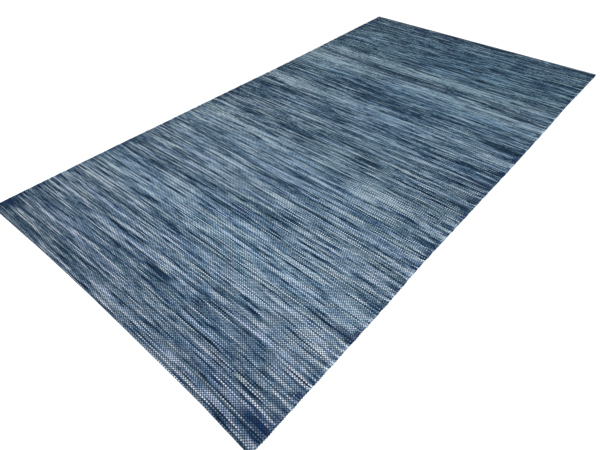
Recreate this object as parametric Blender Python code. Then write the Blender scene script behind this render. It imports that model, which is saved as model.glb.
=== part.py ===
"""Flat-woven wool rug, lying flat: one sheet with firm side selvedges and turned end hems.

X runs across the rug, Y along it and Z up. The origin is on the floor under the rug's centre.
"""

import math

import bmesh
import bpy
from mathutils import Vector

# Driving dimensions, in metres
WIDTH = 1.60
LENGTH = 3.00
THICKNESS = 0.0055

# Side selvedge: the weft turns back round the last warps and leaves a firm rounded bead
SELVEDGE_WIDTH = 0.012
SELVEDGE_HEIGHT = 0.0060

# End hem: the cloth is turned under and sewn down, so a narrow band stands a little higher
HEM_WIDTH = 0.026
HEM_SLOPE = 0.008
HEM_HEIGHT = 0.0063

# Rounded rim: how far it stands out past the top and the flat underside, and how high it is
RIM_OUT = 0.0024
RIM_HEIGHT_SHARE = 0.45
SHOULDER_DROP = 0.0009
CORNER_PULL = 0.6

# Small waves where the yarn turns back at the sides
TURN_LENGTH = 0.060
TURN_OUT = 0.0011
SLOW_WAVE_RATE = 0.61
SLOW_WAVE_SHARE = 0.4

ROW_PITCH = 0.015
COLUMN_PITCH = 0.20

# The long sides, at shares of the half length from the near end (-1) to the far end (+1).
# Columns: along, left side out (m), right side out (m)
SIDE_SECTIONS = (
    (-1.00, 0.000, 0.001),
    (-0.60, 0.002, 0.001),
    (-0.38, -0.001, -0.004),
    (-0.13, -0.001, -0.001),
    (0.17, -0.004, 0.003),
    (0.43, -0.001, 0.003),
    (0.65, 0.004, 0.000),
    (0.85, 0.008, 0.004),
    (1.00, 0.009, 0.006),
)

# The short ends, at shares of the half width from the left (-1) to the right (+1).
# Columns: across, near end out (m), far end out (m)
END_SECTIONS = (
    (-1.00, 0.014, 0.000),
    (-0.82, 0.010, 0.000),
    (-0.60, 0.004, 0.001),
    (-0.28, -0.001, 0.001),
    (0.00, -0.003, -0.001),
    (0.40, -0.002, 0.000),
    (0.68, 0.000, 0.000),
    (0.85, 0.003, 0.000),
    (1.00, 0.009, 0.001),
)

# Middle tone of the streaked yarn
RUG_COLOUR = (0.102, 0.162, 0.223, 1.0)
RUG_ROUGHNESS = 0.92


def clear_scene():
    for old in list(bpy.data.objects):
        bpy.data.objects.remove(old, do_unlink=True)


def wool_material():
    material = bpy.data.materials.new("wool_weave")
    material.use_nodes = True
    shader = material.node_tree.nodes["Principled BSDF"]
    shader.inputs["Base Color"].default_value = RUG_COLOUR
    shader.inputs["Roughness"].default_value = RUG_ROUGHNESS
    shader.inputs["Metallic"].default_value = 0.0
    return material


def ease(share):
    share = min(max(share, 0.0), 1.0)
    return share * share * (3 - 2 * share)


def read_sections(sections, at, column):
    """The eased value of one column of a table of sections at a place along it."""
    for before, after in zip(sections, sections[1:]):
        if at <= after[0]:
            share = ease((at - before[0]) / (after[0] - before[0]))
            return before[column] + share * (after[column] - before[column])
    return sections[-1][column]


def yarn_turns(along, side):
    """The small irregular waves of a selvedge. They differ from one side to the other."""
    phase = math.tau * along / TURN_LENGTH
    wave = (1 - SLOW_WAVE_SHARE) * math.sin(phase + side)
    slow_wave = SLOW_WAVE_SHARE * math.sin(SLOW_WAVE_RATE * phase - 2 * side)
    return TURN_OUT * (wave + slow_wave)


def on_outline(across, along):
    """Moves a point of the true rectangle so that its edges follow the rug's uneven outline."""
    half_width, half_length = WIDTH / 2, LENGTH / 2
    left_share = 0.5 - across / WIDTH
    near_share = 0.5 - along / LENGTH
    left_out = read_sections(SIDE_SECTIONS, along / half_length, 1) + yarn_turns(along, -1)
    right_out = read_sections(SIDE_SECTIONS, along / half_length, 2) + yarn_turns(along, 1)
    near_out = read_sections(END_SECTIONS, across / half_width, 1)
    far_out = read_sections(END_SECTIONS, across / half_width, 2)
    x = across + (1 - left_share) * right_out - left_share * left_out
    y = along + (1 - near_share) * far_out - near_share * near_out
    return x, y


def top_height(across, along):
    """Height of the upper face: plain cloth, a bead along each side and a band at each end."""
    from_side = WIDTH / 2 - abs(across)
    from_end = LENGTH / 2 - abs(along)
    bead = math.sin(math.pi * min(from_side / SELVEDGE_WIDTH, 1.0))
    band = ease((HEM_WIDTH + HEM_SLOPE - from_end) / HEM_SLOPE)
    height = THICKNESS + max((SELVEDGE_HEIGHT - THICKNESS) * bead, (HEM_HEIGHT - THICKNESS) * band)
    if min(from_side, from_end) <= RIM_OUT + 1e-6:
        height -= SHOULDER_DROP
    return height


def stations(half, edge_places, pitch):
    """Places from one edge to the other: the given ones near each edge, evenly spaced between."""
    inner = half - edge_places[-1]
    steps = round(2 * inner / pitch)
    middle = [-inner + 2 * inner * step / steps for step in range(steps + 1)]
    edge = [-half + place for place in edge_places[:-1]]
    return edge + middle + [-place for place in reversed(edge)]


def perimeter_of(rows, columns):
    """Grid places of the boundary, once round from the near left corner."""
    near = [(0, column) for column in range(columns)]
    right = [(row, columns - 1) for row in range(1, rows)]
    far = [(rows - 1, column) for column in range(columns - 2, -1, -1)]
    left = [(row, 0) for row in range(rows - 2, 0, -1)]
    return near + right + far + left


def rim_place(across, along, at_side, at_end):
    """The outermost place of the rim beside a boundary point, drawn in a little at a corner."""
    out = RIM_OUT * (CORNER_PULL if at_side and at_end else 1.0)
    if at_side:
        across += math.copysign(out, across)
    if at_end:
        along += math.copysign(out, along)
    return across, along


def add_top(mesh, columns, rows):
    grid = []
    for along in rows:
        line = [(*on_outline(across, along), top_height(across, along)) for across in columns]
        grid.append([mesh.verts.new(point) for point in line])
    for low, high in zip(grid, grid[1:]):
        for left in range(len(columns) - 1):
            mesh.faces.new((low[left], low[left + 1], high[left + 1], high[left]))
    return grid


def add_rim_and_foot(mesh, grid, columns, rows):
    """The rounded rim below the top's boundary, down to the edge of the flat underside."""
    places = perimeter_of(len(rows), len(columns))
    rim, foot = [], {}
    for row, column in places:
        across, along = columns[column], rows[row]
        at_side = column in (0, len(columns) - 1)
        at_end = row in (0, len(rows) - 1)
        rim_height = RIM_HEIGHT_SHARE * top_height(across, along)
        rim_point = (*on_outline(*rim_place(across, along, at_side, at_end)), rim_height)
        rim.append(mesh.verts.new(rim_point))
        foot[row, column] = mesh.verts.new((*on_outline(across, along), 0.0))
    for here in range(len(places)):
        there = (here + 1) % len(places)
        top_here, top_there = (grid[row][column] for row, column in (places[here], places[there]))
        mesh.faces.new((rim[here], rim[there], top_there, top_here))
        mesh.faces.new((foot[places[here]], foot[places[there]], rim[there], rim[here]))
    return foot


def add_underside(mesh, foot, columns, rows):
    """Flat faces across the whole width, one for each step along the rug."""
    last_row, last_column = len(rows) - 1, len(columns) - 1
    for row in range(last_row):
        near = range(last_column + 1) if row == 0 else (0, last_column)
        far = range(last_column, -1, -1) if row + 1 == last_row else (last_column, 0)
        around = [foot[row, column] for column in near] + [foot[row + 1, column] for column in far]
        mesh.faces.new(list(reversed(around)))


def centre_on_origin(mesh):
    """Puts the middle of the finished outline over the origin."""
    for axis in (0, 1):
        places = [vertex.co[axis] for vertex in mesh.verts]
        shift = Vector((0.0, 0.0, 0.0))
        shift[axis] = -(min(places) + max(places)) / 2
        bmesh.ops.translate(mesh, verts=mesh.verts, vec=shift)


def woven_rug():
    columns = stations(WIDTH / 2, (RIM_OUT, SELVEDGE_WIDTH / 2, SELVEDGE_WIDTH), COLUMN_PITCH)
    rows = stations(LENGTH / 2, (RIM_OUT, HEM_WIDTH / 4, HEM_WIDTH, HEM_WIDTH + HEM_SLOPE), ROW_PITCH)
    mesh = bmesh.new()
    grid = add_top(mesh, columns, rows)
    foot = add_rim_and_foot(mesh, grid, columns, rows)
    add_underside(mesh, foot, columns, rows)
    centre_on_origin(mesh)
    data = bpy.data.meshes.new("woven_rug")
    mesh.to_mesh(data)
    mesh.free()
    data.shade_smooth()
    data.set_sharp_from_angle(angle=math.radians(50))
    data.materials.append(wool_material())
    rug = bpy.data.objects.new("woven_rug", data)
    bpy.context.collection.objects.link(rug)
    return rug


clear_scene()
woven_rug()
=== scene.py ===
"""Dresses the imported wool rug: woven ground, raised weft floats, selvedge turns, floor, light and camera.

Two coordinates run along the cloth itself: across from the left selvedge, and along from the near hem.
"""

import math

import bpy
import numpy as np
from mathutils import Matrix, Vector


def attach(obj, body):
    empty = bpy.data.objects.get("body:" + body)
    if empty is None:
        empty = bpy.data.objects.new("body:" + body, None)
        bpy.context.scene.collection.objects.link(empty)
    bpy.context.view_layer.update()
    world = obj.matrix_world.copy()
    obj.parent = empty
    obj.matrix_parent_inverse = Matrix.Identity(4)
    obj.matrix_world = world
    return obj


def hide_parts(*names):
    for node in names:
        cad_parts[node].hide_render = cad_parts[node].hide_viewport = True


# The flat cloth, in metres, and its thread counts
FLAT_WIDTH = 1.60
FLAT_LENGTH = 3.00
WARPS = 316
PICKS = 638
WARP_PITCH = FLAT_WIDTH / WARPS
PICK_PITCH = FLAT_LENGTH / PICKS

# Heights of the face, as in the solid
CLOTH_HEIGHT = 0.0055
SELVEDGE_WIDTH = 0.012
SELVEDGE_HEIGHT = 0.0060
HEM_WIDTH = 0.026
HEM_HEIGHT = 0.0063
HEM_SLOPE = 0.008
RIM_RADIUS = 0.0027
CORNER_ROUND = 0.006
CORNER_PULL = 0.35

# Weft floats: the short lengths of yarn that lie over one warp
FLOAT_HALF_LENGTH = 0.70 * WARP_PITCH
FLOAT_HALF_WIDTH = 0.47 * PICK_PITCH
FLOAT_RISE = 0.0008
FLOAT_SINK = 0.0009
FLOAT_SEAT = 0.0001
FLOAT_PANELS = 5
# Columns: across share, along share, rise share
FLOAT_SHAPE = np.array((
    (-1.00, 0.0, 0.00),
    (1.00, 0.0, 0.00),
    (-0.50, -1.0, 0.10),
    (0.50, -1.0, 0.10),
    (-0.50, 1.0, 0.10),
    (0.50, 1.0, 0.10),
    (-0.30, 0.0, 1.00),
    (0.30, 0.0, 1.00),
))
FLOAT_FACES = np.array((
    (0, 2, 6), (0, 6, 4), (2, 3, 6), (3, 7, 6), (6, 7, 4), (7, 5, 4), (3, 1, 7), (1, 5, 7),
))

# How unevenly the floats lie: picks swell in a slow beat, floats swell and stray at random
BEAT_SWELL = 0.10
BEAT_RATE = 2.4
RANDOM_SWELL = 0.06
WIDTH_SHARES = (0.8, 1.0)
STRAY_ACROSS = 0.00020
STRAY_ALONG = 0.00008

# Selvedge turns: the weft going round the outermost warps. A turn is thinner where it starts and ends
TURN_RADIUS = 0.0019
TURN_MIDDLE = 0.35
TURN_BULGE = 0.75
TURN_END_SHARE = 0.35
TURN_SEAT = 0.0004
TURN_SIDES = 6
TURN_STEPS = 9
TURN_START = 0.0080
TURN_LOOSENESS = 0.0006
TURN_CLEARANCE = 0.0001

# Places of the ground's grid beside each edge, and its pitch between them
GROUND_ACROSS = (0.006, 0.009, 0.012, 0.016)
ACROSS_PITCH = 0.025
GROUND_ALONG = (0.010, 0.022, 0.026, 0.030, 0.034)
ALONG_PITCH = 0.012
RIM_STATIONS = 5
WELD_DISTANCE = 0.00001

# The textures' maps: the share of the ground's map that each of its faces takes, and the margins
FACE_STRIP = 0.49
GROUND_MARGIN = 0.005
FLOAT_MARGIN = 0.004

SEED = 7

# Tonal bands along the rug. Columns: along (m), tone
BANDS = (
    (0.00, -0.06),
    (0.14, -0.05),
    (0.20, -0.11),
    (0.30, 0.00),
    (0.41, 0.00),
    (0.47, 0.00),
    (0.56, 0.08),
    (0.67, -0.07),
    (0.83, 0.02),
    (0.99, -0.03),
    (1.19, 0.08),
    (1.29, -0.18),
    (1.37, -0.09),
    (1.53, -0.06),
    (1.61, -0.20),
    (1.74, 0.09),
    (1.84, -0.25),
    (1.99, -0.13),
    (2.14, 0.17),
    (2.20, -0.30),
    (2.31, 0.18),
    (2.39, -0.25),
    (2.48, -0.19),
    (2.60, -0.20),
    (2.74, -0.23),
    (2.85, -0.18),
    (3.00, -0.35),
)

# Slow changes of hue along the rug. Columns: along (m), share of red, share of blue
HUES = (
    (0.00, 1.15, 0.99),
    (0.21, 1.05, 1.03),
    (0.40, 1.02, 1.02),
    (0.53, 0.94, 1.06),
    (0.70, 1.00, 1.01),
    (1.03, 0.95, 1.05),
    (1.20, 0.96, 1.00),
    (1.38, 0.98, 0.99),
    (1.52, 0.93, 1.04),
    (1.85, 0.90, 1.04),
    (2.01, 0.84, 1.08),
    (2.18, 0.91, 1.00),
    (2.34, 0.87, 1.01),
    (2.51, 0.78, 1.07),
    (3.00, 0.82, 1.06),
)

# The same across it. Columns: across (m), share of red, share of blue
HUES_ACROSS = (
    (0.00, 1.03, 0.96),
    (0.45, 1.00, 1.00),
    (1.05, 0.97, 1.02),
    (1.60, 1.02, 1.00),
)

# Streaks that stand out. Columns: across from, across to, along, picks thick, tone
STREAKS = (
    (0.33, 0.54, 2.333, 2.0, 0.20),
    (0.66, 0.98, 2.326, 2.5, 0.20),
    (0.04, 0.29, 2.172, 2.0, 0.35),
    (0.70, 0.81, 2.587, 2.0, 0.35),
    (1.09, 1.45, 2.137, 2.5, 0.22),
    (1.12, 1.30, 2.037, 2.0, 0.22),
    (1.18, 1.55, 1.665, 1.5, 0.30),
    (0.31, 0.88, 1.758, 4.0, 0.12),
    (0.70, 0.82, 1.611, 1.5, 0.25),
    (0.48, 0.63, 1.460, 1.5, 0.28),
    (0.27, 0.45, 1.329, 1.5, 0.28),
    (0.06, 0.54, 1.174, 3.0, 0.20),
    (0.06, 0.18, 0.965, 2.0, 0.25),
    (1.37, 1.52, 0.666, 1.5, 0.25),
    (0.08, 0.27, 0.503, 2.0, 0.25),
    (0.02, 0.38, 0.402, 2.0, 0.20),
    (0.80, 0.95, 0.288, 1.5, 0.25),
    (1.30, 1.43, 0.153, 1.5, 0.25),
    (0.84, 1.09, 0.131, 1.5, 0.22),
    (0.75, 0.93, 1.937, 2.5, -0.30),
    (0.38, 0.72, 2.017, 4.0, -0.15),
    (0.61, 0.76, 2.619, 2.5, -0.25),
    (0.62, 0.95, 2.545, 5.0, -0.12),
    (0.55, 0.90, 2.215, 3.0, -0.20),
    (0.02, 0.20, 1.599, 4.0, -0.18),
    (0.75, 0.93, 1.465, 1.5, -0.25),
    (0.18, 0.31, 1.275, 1.5, -0.25),
    (0.72, 0.98, 0.646, 2.0, -0.25),
    (0.45, 0.95, 0.410, 6.0, -0.18),
    (0.73, 0.98, 0.230, 2.0, -0.34),
    (1.45, 1.74, 0.072, 8.0, -0.26),
    (-0.15, 0.11, 0.060, 9.0, -0.26),
    (1.02, 1.70, 0.420, 12.0, 0.13),
    (0.45, 1.15, 0.662, 8.0, -0.10),
    (-0.20, 0.58, 2.185, 12.0, 0.17),
    (0.48, 1.10, 1.947, 14.0, -0.10),
    (0.50, 1.08, 2.510, 7.0, -0.12),
    (1.00, 1.90, 0.732, 70.0, 0.07),
    (-0.40, 0.60, 0.692, 75.0, -0.06),
    (1.02, 1.70, 2.440, 12.0, 0.11),
    (-0.20, 0.50, 2.545, 6.0, 0.06),
    (-0.20, 0.16, 0.474, 3.0, -0.20),
    (-0.20, 0.20, 0.574, 4.0, -0.14),
    (1.25, 1.80, 0.555, 4.0, -0.18),
    (1.40, 1.80, 0.985, 3.0, -0.18),
    (1.42, 1.80, 1.080, 4.5, 0.20),
    (1.34, 1.80, 1.530, 22.0, -0.12),
    (-0.25, 0.28, 1.500, 30.0, -0.09),
    (-0.20, 0.66, 1.710, 4.0, 0.17),
    (1.38, 1.80, 0.662, 4.0, 0.17),
    (0.98, 1.36, 0.512, 4.0, 0.14),
    (0.04, 0.42, 2.000, 4.0, 0.15),
    (1.30, 1.80, 2.425, 4.0, 0.14),
    (0.32, 0.72, 0.357, 4.0, -0.14),
    (0.88, 1.22, 1.345, 4.5, 0.13),
)

# The share of a streak's length in which each end tapers, and how sharply its sides fade
STREAK_TAPER = 0.3
STREAK_FADE = 1.5

# How much darker the cloth is drawn beside the left and the right selvedge, each at its near and its far
# end, and how far in that fades
SELVEDGE_DARKENING = ((-0.14, -0.06), (-0.08, -0.01))
SELVEDGE_FADE = 0.065

# Undyed slubs, pale and a little yellow. Columns: across from, across to, along, picks thick
PALE_SLUBS = (
    (0.83, 0.92, 0.246, 1.0),
    (1.38, 1.45, 0.134, 0.8),
)

# Lengths of navy yarn that end at a selvedge. Columns: across from, across to, along, picks thick
NAVY_LENGTHS = (
    (1.43, 1.80, 0.072, 5.0),
    (1.53, 1.80, 0.128, 3.0),
    (1.53, 1.80, 0.235, 2.0),
    (1.46, 1.80, 0.474, 4.0),
    (1.48, 1.80, 1.385, 4.0),
    (1.46, 1.80, 1.508, 5.0),
    (-0.20, 0.13, 0.062, 4.0),
    (-0.20, 0.09, 0.658, 3.0),
)

# Camera, as in the photo
CAMERA_PLACE = (1.2406, -1.7753, 1.3177)
CAMERA_AIM = (0.3018, -0.7213, 0.0)
CAMERA_ROLL = math.radians(-0.87)
CAMERA_LENS_MM = 27.9
CAMERA_SENSOR_MM = 36.0

# Noises that colour the yarn and shape its fibres: rate across, rate along, detail, roughness
SHARED_NOISE = (2.8, 0.57, 3.0, 0.62)
OWN_NOISE = (5.2, 11.3, 4.0, 0.62)
GROUP_NOISE = (1.6, 0.21, 3.0, 0.6)
CLOUD_NOISE = (1.1, 9.0, 2.0, 0.5)
FLECK_NOISE = (0.38 / WARP_PITCH, 7.7, 2.0, 0.5)
DYE_NOISE = (1.7, 0.21, 2.0, 0.5)
BLOCK_NOISE = (9.0, 21.0, 1.0, 0.5)
RAGGED_NOISE = (1.0, 110.0, 1.0, 0.5)
FIBRE_NOISE = (300.0, 2200.0, 2.0, 0.6)
FIBRE_TWIST = 0.35

# Which part of a pick's own noise darkens it and which part of the shared noise makes it paler,
# with the tones that these give
OWN_RANGE, OWN_TONES = (0.26, 0.56), (-0.53, 0.13)
SHARED_RANGE, SHARED_TONES = (0.42, 0.74), (-0.20, 0.44)
GROUP_SWING = 0.66
CLOUD_SWING = 0.08
MIDDLE_TONE = 0.63

# Yarn tones from the darkest to the palest. Columns: tone, sRGB colour
YARN_TONES = (
    (0.00, (2, 25, 47)),
    (0.22, (29, 60, 86)),
    (0.42, (76, 104, 125)),
    (0.60, (118, 143, 162)),
    (0.80, (160, 182, 197)),
    (1.00, (198, 213, 223)),
)
# How strongly the yarn's tone swings at the near end, and how much more for each metre along
CONTRAST_NEAR = 0.83
CONTRAST_GROWTH = 0.20
# The same for the flecks, short lengths of two or three warps
FLECK_NEAR = 0.42
FLECK_GROWTH = 0.20
# Warp: dark navy yarn, drawn near black with painted shade of the gaps between the floats
WARP_COLOUR_WITH_PAINTED_SHADE = (5, 20, 38)
WARP_TINGE = 0.08
DENIM_TINT = (0.93, 0.97, 1.09, 1.0)
DENIM_RANGE = (0.52, 0.72)
SLATE_TINT = (1.05, 1.03, 0.95, 1.0)
SLATE_RANGE = (0.48, 0.28)
SLUB_COLOUR = (188, 208, 204)

# Navy yarn beside the selvedges: how far in it reaches and how ragged that edge is (m), which part
# of its noise shows, and how strongly
SELVEDGE_NAVY = (16, 44, 84)
NAVY_REACH = (0.032, 0.008)
NAVY_RAGGEDNESS = 0.070
NAVY_RANGE = (0.50, 0.62)
NAVY_STRENGTH = 0.85

# Painted shade on the weft from the floats' ends to their middles, where the yarn dips between the warps,
# and where warp gives way to weft in the ground
END_RANGE, END_PAINTED_SHADE = (-0.15, 0.75), (0.5, 1.0)
WEFT_RANGE = (-0.06, 0.22)

# What the fibres do to the yarn's light and its roughness, each as a swing and a least value
FIBRE_LIGHT = (0.5, 0.75)
FIBRE_ROUGHNESS = (0.2, 0.78)

# Depth of the relief on the yarn and of the weave drawn on the ground, in metres, and the fibres'
# share of it
YARN_RELIEF = 0.0004
GROUND_RELIEF = 0.0008
FIBRE_SHARE = 0.25

WOOL_SPECULAR = 0.06
WOOL_SHEEN = 0.03
WOOL_SHEEN_ROUGHNESS = 0.5

FLOOR_COLOUR = (0.93, 0.93, 0.93)
FLOOR_ROUGHNESS = 0.9
FLOOR_SPECULAR = 0.1
FLOOR_SIZE = 30
FLOOR_DROP = 0.0002
SOFTBOX_SIZE = 3.0
SOFTBOX_ENERGY = 70
SOFTBOX_PLACE = (0.3, -1.6, 2.9)
SOFTBOX_AIM = (0, -0.3, 0)


def smooth_step(low, high, value):
    share = np.clip((value - low) / (high - low), 0.0, 1.0)
    return share * share * (3 - 2 * share)


class Outline:
    """The rug's uneven outline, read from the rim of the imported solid."""

    RIM_LOW, RIM_HIGH = 0.001, 0.004
    BAND = 0.035
    CLEAR_OF_CORNER = 0.008

    def __init__(self, node):
        points = np.array([vertex.co for vertex in node.data.vertices])
        rim = points[(points[:, 2] > self.RIM_LOW) & (points[:, 2] < self.RIM_HIGH)]
        low, high = rim.min(0), rim.max(0)
        self.left = self.line(rim, 0, low, high, low[0])
        self.right = self.line(rim, 0, low, high, high[0])
        self.near = self.line(rim, 1, low, high, low[1])
        self.far = self.line(rim, 1, low, high, high[1])
        self.middle = (low[:2] + high[:2]) / 2

    def line(self, rim, axis, low, high, edge):
        """Places along one edge and the outline's place there, in order."""
        other = 1 - axis
        by_edge = np.abs(rim[:, axis] - edge) < self.BAND
        clear = (rim[:, other] > low[other] + self.BAND) & (rim[:, other] < high[other] - self.BAND)
        ends = (rim[:, other] < low[other] + self.BAND) | (rim[:, other] > high[other] - self.BAND)
        outer = np.abs(rim[:, axis] - edge) < self.CLEAR_OF_CORNER
        found = rim[by_edge & (clear | (ends & outer))]
        found = found[np.argsort(found[:, other])]
        return found[:, other], found[:, axis]

    def place(self, across, along):
        """X and Y of a place on the cloth."""
        flat_x = self.middle[0] + across - FLAT_WIDTH / 2
        flat_y = self.middle[1] + along - FLAT_LENGTH / 2
        left, right = np.interp(flat_y, *self.left), np.interp(flat_y, *self.right)
        near, far = np.interp(flat_x, *self.near), np.interp(flat_x, *self.far)
        return left + (right - left) * across / FLAT_WIDTH, near + (far - near) * along / FLAT_LENGTH


def face_height(across, along):
    """Height of the upper face: plain cloth, a bead along each side and a band at each end."""
    from_side = np.minimum(across, FLAT_WIDTH - across)
    from_end = np.minimum(along, FLAT_LENGTH - along)
    bead = np.sin(math.pi * np.clip(from_side / SELVEDGE_WIDTH, 0, 1))
    band = smooth_step(0, HEM_SLOPE, HEM_WIDTH + HEM_SLOPE - from_end)
    rise = np.maximum((SELVEDGE_HEIGHT - CLOTH_HEIGHT) * bead, (HEM_HEIGHT - CLOTH_HEIGHT) * band)
    return CLOTH_HEIGHT + rise


def rolled(place, size):
    """How a coordinate rolls over the rounded rim: its flat place, the roll's angle and its direction."""
    from_low, from_high = place, size - place
    distance = np.minimum(from_low, from_high)
    direction = np.where(from_low < from_high, -1.0, 1.0)
    angle = np.clip((RIM_RADIUS - distance) / RIM_RADIUS, 0.0, math.pi)
    flat = np.where(angle > 0, RIM_RADIUS * (1 - np.sin(angle)), distance)
    return np.where(direction < 0, flat, size - flat), angle, direction, flat


def on_cloth(outline, across, along, lift=0.0, under=False):
    """Points on the skin of the ground, which lies below the floats, lifted along the skin's normal."""
    flat_across, side_angle, side, from_side = rolled(across, FLAT_WIDTH)
    flat_along, end_angle, end, from_end = rolled(along, FLAT_LENGTH)
    x, y = outline.place(flat_across, flat_along)
    pull = CORNER_PULL * CORNER_ROUND * np.exp(-(from_side + from_end) / CORNER_ROUND)
    upright = np.cos(side_angle) * np.cos(end_angle)
    facing = -1.0 if under else 1.0
    half = (face_height(across, along) - FLOAT_SINK) / 2
    normal = np.stack([side * np.sin(side_angle), end * np.sin(end_angle), facing * upright], -1)
    normal /= np.linalg.norm(normal, axis=-1, keepdims=True)
    skin = np.stack([x - side * pull, y - end * pull, half * (1 + facing * upright)], -1)
    return skin + normal * np.expand_dims(lift, -1)


def yarn_marks(across, along):
    """What the yarn shader needs at each place: added tone, shares of slub and navy yarn, and hue."""
    tone = np.interp(along, *np.array(BANDS).T)
    for start, end, middle, picks, amount in STREAKS:
        tone += amount * streak_share(across, along, start, end, middle, picks)
    # Darker toward each selvedge, fading inward
    for from_side, tones in zip((across, FLAT_WIDTH - across), SELVEDGE_DARKENING):
        amount = np.interp(along, (0, FLAT_LENGTH), tones)
        tone += amount * np.exp(-np.maximum(from_side, 0) / SELVEDGE_FADE)
    slub = total_share(across, along, PALE_SLUBS)
    navy = total_share(across, along, NAVY_LENGTHS)
    hue = shares_at(along, HUES) * shares_at(across, HUES_ACROSS)
    return {"tone": tone, "slub": slub, "navy": navy, "red": hue[0], "blue": hue[1]}


def shares_at(place, table):
    """The shares of red and of blue that a table gives for each place."""
    places, red, blue = np.array(table).T
    return np.stack([np.interp(place, places, red), np.interp(place, places, blue)])


def streak_share(across, along, start, end, middle, picks):
    """One long streak that tapers to both ends."""
    taper = STREAK_TAPER * (end - start)
    length = smooth_step(start, start + taper, across) * (1 - smooth_step(end - taper, end, across))
    return length * np.exp(-((along - middle) / (picks * PICK_PITCH)) ** 2 * STREAK_FADE)


def total_share(across, along, lengths):
    """How much of the yarn at each place belongs to some table's lengths."""
    total = np.zeros_like(across)
    for start, end, middle, picks in lengths:
        total += streak_share(across, along, start, end, middle, picks)
    return np.clip(total, 0, 1)


def new_mesh(name, points, faces, threads, bake, material):
    """A mesh object with the cloth coordinates of its points, their yarn marks and a map for textures."""
    mesh = bpy.data.meshes.new(name)
    mesh.from_pydata(points.tolist(), [], faces.tolist())
    corners = np.zeros(len(mesh.loops), np.int32)
    mesh.loops.foreach_get("vertex_index", corners)
    for map_name, places in (("threads", threads), ("OFBake", bake)):
        if places is not None:
            layer = mesh.uv_layers.new(name=map_name)
            layer.data.foreach_set("uv", places[corners].astype(np.float32).ravel())
    for mark_name, values in yarn_marks(threads[:, 0], threads[:, 1]).items():
        mark = mesh.attributes.new(mark_name, "FLOAT", "POINT")
        mark.data.foreach_set("value", values.astype(np.float32))
    mesh.shade_smooth()
    mesh.materials.append(material)
    made = bpy.data.objects.new(name, mesh)
    bpy.context.collection.objects.link(made)
    return made


def stations(size, edge_places, pitch):
    """Places from one edge to the other: over the rim, the given ones beside it, and evenly between."""
    rim = RIM_RADIUS * (1 - np.linspace(math.pi / 2, 0, RIM_STATIONS))
    inner = edge_places[-1]
    steps = round((size - 2 * inner) / pitch)
    edge = np.concatenate([rim, edge_places[:-1]])
    return np.concatenate([edge, np.linspace(inner, size - inner, steps + 1), (size - edge)[::-1]])


def grid_faces(rows, columns, offset=0, flip=False):
    corner = offset + np.arange(rows - 1)[:, None] * columns + np.arange(columns - 1)
    around = [corner, corner + 1, corner + columns + 1, corner + columns]
    faces = np.stack(around[::-1] if flip else around, -1)
    return faces.reshape(-1, 4)


def woven_ground(outline, material):
    """The closed sheet of the cloth: warps between the floats above, plain underside and rounded rims."""
    across = stations(FLAT_WIDTH, GROUND_ACROSS, ACROSS_PITCH)
    along = stations(FLAT_LENGTH, GROUND_ALONG, ALONG_PITCH)
    u, v = np.meshgrid(across, along)
    top = on_cloth(outline, u, v)
    under = on_cloth(outline, u, v, under=True)
    rows, columns = u.shape
    points = np.concatenate([top.reshape(-1, 3), under.reshape(-1, 3)])
    faces = np.concatenate([grid_faces(rows, columns), grid_faces(rows, columns, u.size, flip=True)])
    threads = np.stack([u.ravel(), v.ravel()], -1)
    bake_top = np.stack([v / FLAT_LENGTH, FACE_STRIP * u / FLAT_WIDTH], -1).reshape(-1, 2)
    bake = inside_margin(np.concatenate([bake_top, bake_top + (0, 1 - FACE_STRIP)]), GROUND_MARGIN)
    ground = new_mesh("woven_ground", points, faces, np.tile(threads, (2, 1)), bake, material)
    weld(ground)
    return ground


def inside_margin(places, margin):
    """Places of a texture's map, drawn in from its edges."""
    return margin + (1 - 2 * margin) * places


def weld(piece):
    """Joins the upper and the lower skin along the outline."""
    modifier = piece.modifiers.new("weld", "WELD")
    modifier.merge_threshold = WELD_DISTANCE


def weft_floats(name, outline, first_pick, last_pick, material):
    """The floats of some picks as one mesh. Each is a small ridge with pointed ends over its warp."""
    pick, warp = np.meshgrid(np.arange(first_pick, last_pick), np.arange(WARPS), indexing="ij")
    over = (pick + warp) % 2 == 0
    pick, warp = pick[over], warp[over]
    chance = np.random.default_rng(SEED + first_pick + PICKS)
    slack = chance.normal(0, 1, (3, pick.size))
    plump = 1 + BEAT_SWELL * np.sin(pick * BEAT_RATE) + RANDOM_SWELL * slack[0]
    across = (warp + 0.5) * WARP_PITCH + STRAY_ACROSS * slack[1]
    along = (pick + 0.5) * PICK_PITCH + STRAY_ALONG * slack[2]
    u = across[:, None] + FLOAT_HALF_LENGTH * FLOAT_SHAPE[:, 0]
    v = along[:, None] + FLOAT_HALF_WIDTH * np.clip(plump, *WIDTH_SHARES)[:, None] * FLOAT_SHAPE[:, 1]
    lift = FLOAT_RISE * plump[:, None] * FLOAT_SHAPE[:, 2] - FLOAT_SEAT
    points = on_cloth(outline, u, v, lift).reshape(-1, 3)
    faces = (np.arange(pick.size)[:, None, None] * len(FLOAT_SHAPE) + FLOAT_FACES).reshape(-1, 3)
    threads = np.stack([u.ravel(), v.ravel()], -1)
    low, high = threads.min(0), threads.max(0)
    bake = inside_margin((threads - low) / (high - low), FLOAT_MARGIN)
    return new_mesh(name, points, faces, threads, bake, material)


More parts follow.
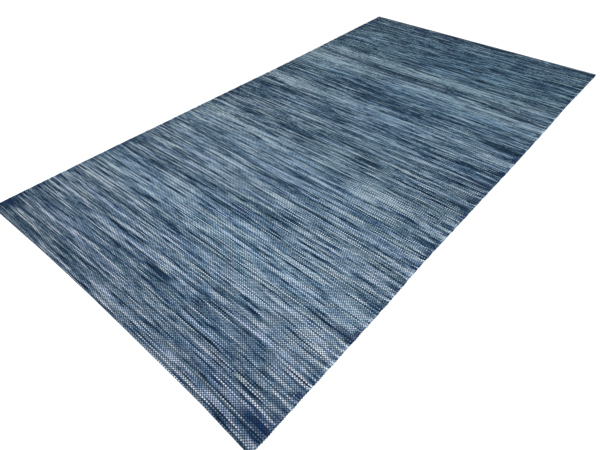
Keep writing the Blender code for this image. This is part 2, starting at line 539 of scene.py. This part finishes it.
def selvedge_turns(name, outline, side, material):
    """One side's turns: after every second pick the yarn goes over the edge and back beneath."""
    count = PICKS // 2
    first = np.arange(count) * 2 + (0.5 if side < 0 else 1.5)
    chance = np.random.default_rng(SEED + side)
    loose = TURN_LOOSENESS * np.abs(chance.normal(0, 1, count))
    share = np.linspace(0, 1, TURN_STEPS)
    rolled_under = RIM_RADIUS * (1 - math.pi)
    from_edge = TURN_START - share * (TURN_START + math.pi * RIM_RADIUS / 2 - RIM_RADIUS) * 2
    from_edge = np.maximum(from_edge, rolled_under)
    swing = np.sin(math.pi * share)
    ring = math.tau * np.arange(TURN_SIDES) / TURN_SIDES
    points, threads = [], []
    for step in range(TURN_STEPS):
        middle = (first + share[step]) * PICK_PITCH
        u = np.full(count, from_edge[step] if side < 0 else FLAT_WIDTH - from_edge[step])
        fullness = TURN_END_SHARE + (1 - TURN_END_SHARE) * swing[step]
        for angle in ring:
            v = middle + TURN_RADIUS * math.cos(angle)
            lift = TURN_RADIUS * (TURN_MIDDLE + TURN_BULGE * math.sin(angle)) * fullness
            points.append(on_cloth(outline, u, v, lift + loose * swing[step] - TURN_SEAT))
            threads.append(np.stack([u, middle], -1))
    points = np.stack(points, 1).reshape(-1, 3)
    points[:, 2] = np.maximum(points[:, 2], TURN_CLEARANCE)
    threads = np.stack(threads, 1).reshape(-1, 2)
    return new_mesh(name, points, tube_faces(count, flip=side < 0), threads, None, material)


def tube_faces(count, flip):
    """Faces of the turns, each one a bent tube of its own."""
    base = np.arange(count)[:, None, None, None] * TURN_STEPS * TURN_SIDES
    step = np.arange(TURN_STEPS - 1)[:, None] * TURN_SIDES
    here = np.arange(TURN_SIDES)
    there = (here + 1) % TURN_SIDES
    around = [step + here, step + TURN_SIDES + here, step + TURN_SIDES + there, step + there]
    return (base + np.stack(around[::-1] if flip else around, -1)).reshape(-1, 4)


def srgb(colour):
    """Linear RGBA of an opaque sRGB colour given from 0 to 255."""
    shares = [value / 255 for value in colour]
    linear = [s / 12.92 if s <= 0.04045 else ((s + 0.055) / 1.055) ** 2.4 for s in shares]
    return (*linear, 1.0)


class Graph:
    """Short calls that add shader nodes. A value is a number, a colour or another node's socket."""

    def __init__(self, tree):
        self.tree = tree

    def put(self, socket, value):
        if isinstance(value, bpy.types.NodeSocket):
            self.tree.links.new(value, socket)
        else:
            socket.default_value = value

    def math(self, operation, *values, clamp=False):
        node = self.tree.nodes.new("ShaderNodeMath")
        node.operation = operation
        node.use_clamp = clamp
        for socket, value in zip(node.inputs, values):
            self.put(socket, value)
        return node.outputs[0]

    def noise(self, x, y, kind):
        """Noise of one kind: its rates along the two coordinates, its detail and its roughness."""
        x_rate, y_rate, detail, roughness = kind
        place = self.tree.nodes.new("ShaderNodeCombineXYZ")
        self.put(place.inputs["X"], self.math("MULTIPLY", x, x_rate))
        self.put(place.inputs["Y"], self.math("MULTIPLY", y, y_rate))
        node = self.tree.nodes.new("ShaderNodeTexNoise")
        node.noise_dimensions = "2D"
        node.inputs["Scale"].default_value = 1.0
        node.inputs["Detail"].default_value = detail
        node.inputs["Roughness"].default_value = roughness
        self.tree.links.new(place.outputs[0], node.inputs["Vector"])
        return node.outputs["Fac"]

    def swing(self, value, amount):
        """A noise value as a swing about zero."""
        return self.math("MULTIPLY", self.math("SUBTRACT", value, 0.5), amount)

    def ramp(self, value, ends, results=(0.0, 1.0)):
        """An eased change between two results while the value goes from one end to the other."""
        node = self.tree.nodes.new("ShaderNodeMapRange")
        node.interpolation_type = "SMOOTHSTEP"
        self.put(node.inputs["Value"], value)
        node.inputs["From Min"].default_value, node.inputs["From Max"].default_value = ends
        node.inputs["To Min"].default_value, node.inputs["To Max"].default_value = results
        return node.outputs["Result"]

    def tones(self, value, stops):
        node = self.tree.nodes.new("ShaderNodeValToRGB")
        elements = node.color_ramp.elements
        for _ in stops[2:]:
            elements.new(0.5)
        for element, (place, colour) in zip(elements, stops):
            element.position = place
            element.color = srgb(colour)
        self.put(node.inputs["Fac"], value)
        return node.outputs["Color"]

    def mix(self, share, first, second, blend="MIX"):
        node = self.tree.nodes.new("ShaderNodeMix")
        node.data_type = "RGBA"
        node.blend_type = blend
        self.put(node.inputs[0], share)
        self.put(node.inputs[6], first)
        self.put(node.inputs[7], second)
        return node.outputs[2]

    def combine(self, red, green, blue):
        node = self.tree.nodes.new("ShaderNodeCombineColor")
        for socket, value in zip(node.inputs, (red, green, blue)):
            self.put(socket, value)
        return node.outputs[0]

    def tinted(self, colour, tint, share=1.0):
        return self.mix(share, colour, tint, "MULTIPLY")

    def shaded(self, colour, light):
        return self.tinted(colour, self.combine(light, light, light))

    def attribute(self, name):
        node = self.tree.nodes.new("ShaderNodeAttribute")
        node.attribute_name = name
        return node.outputs["Fac"]

    def threads(self):
        """The cloth coordinates, across and along."""
        node = self.tree.nodes.new("ShaderNodeUVMap")
        node.uv_map = "threads"
        split = self.tree.nodes.new("ShaderNodeSeparateXYZ")
        self.tree.links.new(node.outputs[0], split.inputs[0])
        return split.outputs["X"], split.outputs["Y"]

    def bump(self, height, distance):
        node = self.tree.nodes.new("ShaderNodeBump")
        node.inputs["Strength"].default_value = 1.0
        node.inputs["Distance"].default_value = distance
        self.tree.links.new(height, node.inputs["Height"])
        return node.outputs[0]


def yarn_colour(graph, across, along):
    """Space-dyed weft: each pick changes tone along its length, and its neighbours a little with it."""
    pick = graph.math("FLOOR", graph.math("DIVIDE", along, PICK_PITCH))
    colour = graph.tones(yarn_tone(graph, across, along, pick), YARN_TONES)
    colour = graph.tinted(colour, graph.combine(graph.attribute("red"), 1.0, graph.attribute("blue")))
    dye = graph.noise(across, pick, DYE_NOISE)
    colour = graph.tinted(colour, DENIM_TINT, graph.ramp(dye, DENIM_RANGE))
    colour = graph.tinted(colour, SLATE_TINT, graph.ramp(dye, SLATE_RANGE))
    navy = graph.math("MAXIMUM", selvedge_blocks(graph, across, along), graph.attribute("navy"))
    colour = graph.mix(graph.math("MULTIPLY", navy, NAVY_STRENGTH), colour, srgb(SELVEDGE_NAVY))
    return graph.mix(graph.attribute("slub"), colour, srgb(SLUB_COLOUR))


def yarn_tone(graph, across, along, pick):
    """Quick swings of tone, stronger toward the far end, on slow ones that whole groups of picks share."""
    dark = graph.ramp(graph.noise(across, pick, OWN_NOISE), OWN_RANGE, OWN_TONES)
    pale = graph.ramp(graph.noise(across, pick, SHARED_NOISE), SHARED_RANGE, SHARED_TONES)
    fleck_swing = graph.math("MULTIPLY_ADD", along, FLECK_GROWTH, FLECK_NEAR)
    flecks = graph.swing(graph.noise(across, pick, FLECK_NOISE), fleck_swing)
    quick = graph.math("ADD", graph.math("ADD", dark, pale), flecks)
    contrast = graph.math("MULTIPLY_ADD", along, CONTRAST_GROWTH, CONTRAST_NEAR)
    tone = graph.math("MULTIPLY", quick, contrast)
    group = graph.swing(graph.noise(across, pick, GROUP_NOISE), GROUP_SWING)
    cloud = graph.swing(graph.noise(across, along, CLOUD_NOISE), CLOUD_SWING)
    for slow in (group, cloud, graph.attribute("tone")):
        tone = graph.math("ADD", tone, slow)
    return graph.math("ADD", tone, MIDDLE_TONE, clamp=True)


def selvedge_blocks(graph, across, along):
    """Short lengths of navy yarn carried up the last centimetres beside each selvedge."""
    from_side = graph.math("MINIMUM", across, graph.math("SUBTRACT", FLAT_WIDTH, across))
    side = graph.math("GREATER_THAN", across, FLAT_WIDTH / 2)
    block = graph.noise(side, along, BLOCK_NOISE)
    ragged = graph.swing(graph.noise(side, along, RAGGED_NOISE), NAVY_RAGGEDNESS)
    reach = graph.math("ADD", from_side, ragged)
    return graph.math("MULTIPLY", graph.ramp(reach, NAVY_REACH), graph.ramp(block, NAVY_RANGE))


def wool_shader(name):
    material = bpy.data.materials.new(name)
    material.use_nodes = True
    shader = material.node_tree.nodes["Principled BSDF"]
    shader.inputs["Metallic"].default_value = 0.0
    shader.inputs["Specular IOR Level"].default_value = WOOL_SPECULAR
    shader.inputs["Sheen Weight"].default_value = WOOL_SHEEN
    shader.inputs["Sheen Roughness"].default_value = WOOL_SHEEN_ROUGHNESS
    return material, shader


def fibre_relief(graph, across, along):
    """Fine fibres that run with the yarn, with a slight twist."""
    twisted = graph.math("ADD", along, graph.math("MULTIPLY", across, FIBRE_TWIST))
    return graph.noise(across, twisted, FIBRE_NOISE)


def finish_wool(graph, shader, colour, across, along, height, depth):
    fibres = fibre_relief(graph, across, along)
    light = graph.math("MULTIPLY_ADD", fibres, *FIBRE_LIGHT)
    graph.put(shader.inputs["Base Color"], graph.shaded(colour, light))
    graph.put(shader.inputs["Roughness"], graph.math("MULTIPLY_ADD", fibres, *FIBRE_ROUGHNESS))
    relief = graph.math("MULTIPLY_ADD", fibres, FIBRE_SHARE, height)
    graph.put(shader.inputs["Normal"], graph.bump(relief, depth))


def weave_wave(graph, across, along):
    """One at the middle of each float, nothing at its sides, and less over the warps between."""
    warp_wave = graph.math("SINE", graph.math("MULTIPLY", across, math.pi / WARP_PITCH))
    pick_wave = graph.math("SINE", graph.math("MULTIPLY", along, math.pi / PICK_PITCH))
    return graph.math("MULTIPLY", warp_wave, pick_wave)


def float_material():
    """Weft yarn with painted shade toward its ends, where it dips between the warps."""
    material, shader = wool_shader("weft_floats")
    graph = Graph(material.node_tree)
    across, along = graph.threads()
    # Painted shade: the weft is drawn darker toward each float's ends
    light = graph.ramp(weave_wave(graph, across, along), END_RANGE, END_PAINTED_SHADE)
    yarn = graph.shaded(yarn_colour(graph, across, along), light)
    finish_wool(graph, shader, yarn, across, along, 0.0, YARN_RELIEF)
    return material


def turn_material():
    material, shader = wool_shader("selvedge_turns")
    graph = Graph(material.node_tree)
    across, along = graph.threads()
    finish_wool(graph, shader, yarn_colour(graph, across, along), across, along, 0.0, YARN_RELIEF)
    return material


def ground_material():
    """Warps between the floats, drawn with painted shade in the gaps, and the same plain weave drawn on the
    underside.
    """
    material, shader = wool_shader("woven_ground")
    graph = Graph(material.node_tree)
    across, along = graph.threads()
    wave = weave_wave(graph, across, along)
    yarn = yarn_colour(graph, across, along)
    # Painted shade: the warp between the floats is drawn near black
    warp = graph.mix(WARP_TINGE, srgb(WARP_COLOUR_WITH_PAINTED_SHADE), yarn)
    cloth = graph.mix(graph.ramp(wave, WEFT_RANGE), warp, yarn)
    finish_wool(graph, shader, cloth, across, along, wave, GROUND_RELIEF)
    return material


def add_floor():
    bpy.ops.mesh.primitive_plane_add(size=FLOOR_SIZE, location=(0, 0, -FLOOR_DROP))
    floor = bpy.context.object
    floor.name = "floor"
    material = bpy.data.materials.new("pale_floor")
    material.use_nodes = True
    shader = material.node_tree.nodes["Principled BSDF"]
    shader.inputs["Base Color"].default_value = (*FLOOR_COLOUR, 1.0)
    shader.inputs["Roughness"].default_value = FLOOR_ROUGHNESS
    shader.inputs["Specular IOR Level"].default_value = FLOOR_SPECULAR
    floor.data.materials.append(material)


def add_light():
    world = bpy.data.worlds.new("studio")
    world.use_nodes = True
    world.node_tree.nodes["Background"].inputs["Color"].default_value = (1.0, 1.0, 1.0, 1.0)
    world.node_tree.nodes["Background"].inputs["Strength"].default_value = 1.0
    bpy.context.scene.world = world
    softbox = bpy.data.lights.new("softbox", "AREA")
    softbox.shape = "RECTANGLE"
    softbox.size, softbox.size_y = SOFTBOX_SIZE, SOFTBOX_SIZE
    softbox.energy = SOFTBOX_ENERGY
    lamp = bpy.data.objects.new("softbox", softbox)
    lamp.location = SOFTBOX_PLACE
    lamp.rotation_euler = (Vector(SOFTBOX_AIM) - lamp.location).to_track_quat("-Z", "Y").to_euler()
    bpy.context.collection.objects.link(lamp)
    bpy.context.scene.view_settings.view_transform = "Standard"


def add_camera():
    camera = bpy.data.cameras.new("camera")
    camera.lens = CAMERA_LENS_MM
    camera.sensor_width = CAMERA_SENSOR_MM
    eye = bpy.data.objects.new("camera", camera)
    place, aim = Vector(CAMERA_PLACE), Vector(CAMERA_AIM)
    turn = (aim - place).to_track_quat("-Z", "Y").to_matrix() @ Matrix.Rotation(CAMERA_ROLL, 3, "Z")
    eye.matrix_world = Matrix.Translation(place) @ turn.to_4x4()
    bpy.context.collection.objects.link(eye)
    bpy.context.scene.camera = eye


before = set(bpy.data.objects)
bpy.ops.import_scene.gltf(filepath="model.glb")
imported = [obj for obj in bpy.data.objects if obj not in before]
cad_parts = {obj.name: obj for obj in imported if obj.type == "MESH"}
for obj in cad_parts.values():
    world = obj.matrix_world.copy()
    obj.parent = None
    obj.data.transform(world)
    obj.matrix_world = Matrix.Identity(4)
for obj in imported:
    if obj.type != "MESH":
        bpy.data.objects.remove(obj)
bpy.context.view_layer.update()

outline = Outline(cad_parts["woven_rug"])
weft = float_material()
turned_weft = turn_material()
ground = woven_ground(outline, ground_material())
breaks = np.linspace(-1, PICKS + 1, FLOAT_PANELS + 1).round().astype(int)
pieces = [
    weft_floats(f"weft_floats_{number + 1}", outline, first, last, weft)
    for number, (first, last) in enumerate(zip(breaks, breaks[1:]))
]
pieces.append(selvedge_turns("selvedge_turns_left", outline, -1, turned_weft))
pieces.append(selvedge_turns("selvedge_turns_right", outline, 1, turned_weft))
for piece in [ground, *pieces]:
    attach(piece, "root")
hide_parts("woven_rug")

add_floor()
add_light()
add_camera()
